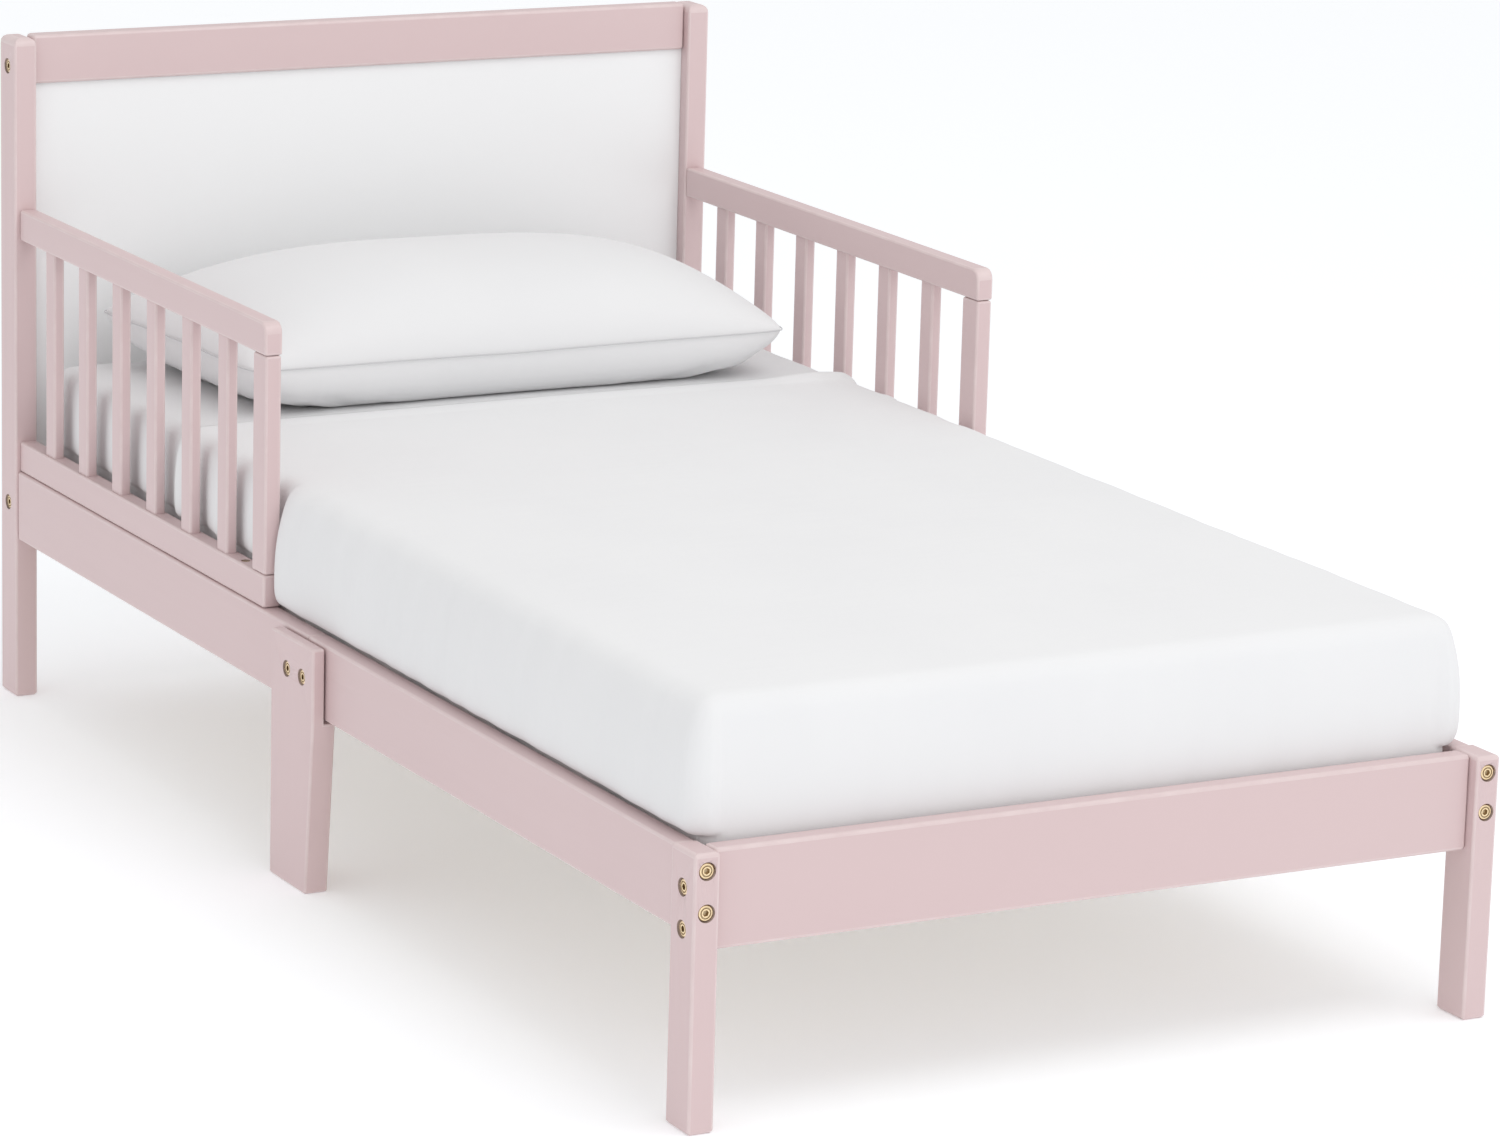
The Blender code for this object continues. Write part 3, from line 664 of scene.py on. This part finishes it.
bpy.ops.object.mode_set(mode="OBJECT")
subdivided(mattress)
first_low, first_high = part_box("guard_spindle_left_1")
spindle_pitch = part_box("guard_spindle_left_2")[0].y - first_low.y
SIDE_BELLY = 0.0165
GUARD_BELLY = 0.0085
FOOT_BELLY = 0.0060
TURN_SLACK = 0.002       # how far in from a side its rounding counts as part of it
SHORT_OF_POST = 0.003    # the free belly starts this far before the end post
FREE_RUN_IN = 0.005      # and is full this much further on
BEHIND_POST = 0.002      # the held belly starts this far behind the end post
HELD_RUN_IN = 0.010
AT_SPINDLE = 0.35        # share of the held belly that is left against a spindle
PUCKER = 0.0016
SIDE_TUCK = 0.0010       # how far the fitted sheet draws the sides in


def bellied(height, base, most):
    """How far a side pushes out at a height, from nothing at the base to nothing at the top."""
    rise = (height - base) / (mattress_high.z - base)
    if rise <= 0.0 or rise >= 1.0:
        return 0.0
    return most * (1.0 - abs(2.0 * rise ** 0.5 - 1.0) ** 3)


def run_in(distance, width):
    """Rises from 0 to 1 over a width."""
    return min(max(distance / width, 0.0), 1.0)


for vertex in mattress.data.vertices:
    place = vertex.co
    past_side = run_in(abs(place.x) - mattress_size.x / 2 + CORNER + TURN_SLACK, CORNER)
    past_foot = run_in(mattress_low.y + CORNER + TURN_SLACK - place.y, CORNER)
    if past_side == 0.0 and past_foot == 0.0:
        continue
    outward = Vector((math.copysign(past_side, place.x), -past_foot, 0.0)).normalized()
    past_guard = run_in(guard_front - SHORT_OF_POST - place.y, FREE_RUN_IN) ** 0.5
    past_post = run_in(place.y - guard_back - BEHIND_POST, HELD_RUN_IN)
    turn = 2 * math.pi * (place.y - (first_low.y + first_high.y) / 2) / spindle_pitch
    between = AT_SPINDLE + (1.0 - AT_SPINDLE) * (1.0 - math.cos(turn)) / 2
    free = bellied(place.z, rail_top, SIDE_BELLY) * past_guard
    held = bellied(place.z, guard_rail_top, GUARD_BELLY) * between * past_post
    foot = bellied(place.z, mattress_low.z, FOOT_BELLY)
    puckers = PUCKER * noise.noise(Vector((place.y * 30.0, place.z * 5.0, outward.x * 5.0)))
    side_push = free + held + puckers - SIDE_TUCK
    vertex.co = place + outward * (side_push * abs(outward.x) + foot * abs(outward.y))
mattress.data.materials.append(fitted_cotton)
select_only(mattress)
bpy.ops.object.shade_smooth()
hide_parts("mattress")
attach(mattress, "mattress")

# Top sheet: plain white cotton, drawn flat over the mattress from the pillow to the foot and
# tucked in on three sides. Its head end has a doubled hem, a ridge by the right-hand edge, and the
# sides hang in fine vertical creases.
sheet_cotton = cotton("top_sheet_cotton", (0.79, 0.79, 0.80, 1.0), (0.83, 0.83, 0.835, 1.0),
                      (3.0, 26.0, 2.0), 3.0, 0.30)
sheet_low, sheet_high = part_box("top_sheet")
SHEET_LIFT = 0.0009
SHEET_WEIGHT = 0.0012
HEM_WIDTH = 0.018
HEM_RISE = 0.0010
RIDGE_PLACE = 0.300
RIDGE_HEIGHT = 0.0060
FLARE = 0.0022           # the hem stands off the sides
GATHER = 0.0026          # a fold down each side, a little way from the hem
GATHER_PLACE = 0.095
CREASE = 0.0010
DRIFT = 0.0008
DEEPEST_CREASE = 0.0006
hem_line = sheet_high.y
tuck_line = sheet_low.z
sheet = bpy.data.objects.new("drawn_top_sheet", mattress.data.copy())
scene.collection.objects.link(sheet)
select_only(sheet)
bpy.ops.object.mode_set(mode="EDIT")
bpy.ops.mesh.select_all(action="SELECT")
bpy.ops.mesh.bisect(plane_co=(0.0, hem_line, 0.0), plane_no=(0.0, 1.0, 0.0), clear_outer=True)
bpy.ops.mesh.select_all(action="SELECT")
bpy.ops.mesh.bisect(plane_co=(0.0, 0.0, tuck_line), plane_no=(0.0, 0.0, 1.0), clear_inner=True)
bpy.ops.object.mode_set(mode="OBJECT")
normals = [vertex.normal.copy() for vertex in sheet.data.vertices]
for vertex, normal in zip(sheet.data.vertices, normals):
    place = vertex.co
    side_share = min(abs(normal.x) + abs(normal.y), 1.0)
    creases = CREASE * noise.noise(Vector((place.x * 38.0, place.y * 38.0, place.z * 5.0)))
    drift = DRIFT * noise.noise(Vector((place.x * 6.0, place.y * 5.0, 3.0)))
    from_hem = hem_line - place.y
    ridge = RIDGE_HEIGHT * math.exp(-((from_hem - 0.012) / 0.009) ** 2
                                    - ((place.x - RIDGE_PLACE) / 0.050) ** 2)
    flare = FLARE * math.exp(-(from_hem / 0.012) ** 2) * side_share
    gather = GATHER * math.exp(-((from_hem - GATHER_PLACE) / 0.008) ** 2) * side_share
    hem = HEM_RISE if from_hem < HEM_WIDTH else 0.0
    relief = max(creases * side_share + drift * (1.0 - side_share), -DEEPEST_CREASE)
    lift = SHEET_LIFT + hem + relief
    vertex.co = place + normal * (lift + flare + gather) + Vector((0.0, 0.0, ridge))
thickness = sheet.modifiers.new("weight", "SOLIDIFY")
thickness.thickness = SHEET_WEIGHT
thickness.offset = 1.0
bpy.ops.object.modifier_apply(modifier=thickness.name)
sheet.data.materials.clear()
sheet.data.materials.append(sheet_cotton)
bpy.ops.object.shade_smooth()
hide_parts("top_sheet")
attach(sheet, "mattress")

# Pillow: two panels of cotton sewn together round the edge with a fine piping, and stuffed. Its
# corners stay crisp and its edges draw in between them. It lies across the head of the bed with
# its seam lifted off the sheet and its underside pressed flat.
pillow_cotton = cotton("pillow_cotton", (0.78, 0.78, 0.79, 1.0), (0.82, 0.82, 0.825, 1.0),
                       (5.0, 9.0, 5.0), 1.5, 0.22)
pillow_low, pillow_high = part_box("pillow")
pillow_middle = (pillow_low + pillow_high) / 2
pillow_half = (pillow_high - pillow_low) / 2
SEAM_HEIGHT = 0.0475
DRAWN_IN = 0.016
NARROWER_FRONT = 0.022
CORNER_PULL_X = 0.009
CORNER_PULL_Y = 0.007
PRESSED = 2.9            # how quickly the underside falls to the sheet from the seam
SKIN = 0.0008            # the underside's height off the CAD pillow's lowest plane
SAG = 0.004              # the front edge sags in the middle
PIPING_RADIUS = 0.0006


def pillow_point(u, v, upper):
    """A point of the cover: u runs across and v towards the head, both from -1 to 1."""
    narrowing = NARROWER_FRONT * (1.0 - v) / 2
    x = u * (pillow_half.x - narrowing - DRAWN_IN * 0.5 * (1.0 - v * v) * abs(u))
    y = v * (pillow_half.y - DRAWN_IN * (1.0 - u * u) * abs(v))
    corner = (abs(u) * abs(v)) ** 10
    x -= math.copysign(CORNER_PULL_X, u) * corner
    y -= math.copysign(CORNER_PULL_Y, v) * corner
    across = max(1.0 - abs(u) ** 3.0, 0.0) ** 0.62
    along = max(1.0 - abs(v) ** 2.3, 0.0) ** 0.52
    plump = across * along
    if upper:
        crown = 2 * pillow_half.z - SEAM_HEIGHT - 0.001
        z = SEAM_HEIGHT + crown * plump * (1.0 - 0.05 * u)
    else:
        pressed = PRESSED * plump
        z = SEAM_HEIGHT - (SEAM_HEIGHT - SKIN) * pressed / (1.0 + pressed ** 5) ** 0.2
    sag = SAG * (1.0 - abs(u)) * (1.0 - v) / 2
    return Vector((pillow_middle.x + x, pillow_middle.y + y, pillow_low.z + z - sag * (z > 0.02)))


bpy.ops.object.select_all(action="DESELECT")
bpy.ops.mesh.primitive_grid_add(x_subdivisions=110, y_subdivisions=64, size=2.0,
                                location=(0.0, 0.0, 1.0))
pillow = bpy.context.object
pillow.name = "stuffed_pillow"
bpy.ops.object.transform_apply(location=True, rotation=True, scale=True)
bpy.ops.object.mode_set(mode="EDIT")
bpy.ops.mesh.select_all(action="SELECT")
bpy.ops.mesh.duplicate()
bpy.ops.transform.translate(value=(0.0, 0.0, -2.0))
bpy.ops.mesh.flip_normals()
bpy.ops.object.mode_set(mode="OBJECT")
for vertex in pillow.data.vertices:
    vertex.co = pillow_point(vertex.co.x, vertex.co.y, vertex.co.z > 0.0)
bpy.ops.object.mode_set(mode="EDIT")
bpy.ops.mesh.select_all(action="SELECT")
bpy.ops.mesh.remove_doubles(threshold=0.0001)
bpy.ops.mesh.normals_make_consistent(inside=False)
bpy.ops.object.mode_set(mode="OBJECT")


def seam_path(steps):
    """Points round the pillow's edge, from corner to corner."""
    corners = ((-1, -1), (1, -1), (1, 1), (-1, 1), (-1, -1))
    for (u0, v0), (u1, v1) in zip(corners, corners[1:]):
        for step in range(steps):
            t = step / steps
            yield pillow_point(u0 + (u1 - u0) * t, v0 + (v1 - v0) * t, True)


seam = list(seam_path(120))
seam_pins = pillow.vertex_groups.new(name="seam")
pinned = [vertex.index for vertex in pillow.data.vertices
          if min((vertex.co - point).length_squared for point in seam[::4]) < 0.004 ** 2]
seam_pins.add(pinned, 1.0, "REPLACE")
swell(pillow, 3.0, 16, 0.006, "seam")
for vertex in pillow.data.vertices:
    vertex.co.z = max(vertex.co.z, pillow_low.z + SKIN)
subdivided(pillow)
pillow.data.materials.append(pillow_cotton)
select_only(pillow)
bpy.ops.object.shade_smooth()
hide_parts("pillow")
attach(pillow, "pillow")

piping_line = bpy.data.curves.new("piping_line", "CURVE")
piping_line.dimensions = "3D"
piping_line.bevel_depth = PIPING_RADIUS
piping_line.bevel_resolution = 2
run = piping_line.splines.new("POLY")
run.points.add(len(seam) - 1)
for point, place in zip(run.points, seam):
    point.co = (place.x, place.y, place.z, 1.0)
run.use_cyclic_u = True
piping = bpy.data.objects.new("pillow_piping", piping_line)
scene.collection.objects.link(piping)
select_only(piping)
bpy.ops.object.convert(target="MESH")
piping = bpy.context.object
# The piping is painted a darker grey than the cover: painted shade for the shadow line along the
# seam.
piping_shade_cotton = cotton("pillow_piping_shade_cotton", (0.56, 0.56, 0.57, 1.0), (0.64, 0.64, 0.65, 1.0),
                       (5.0, 9.0, 5.0), 1.5, 0.2)
piping.data.materials.append(piping_shade_cotton)
bpy.ops.object.shade_smooth()
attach(piping, "pillow")
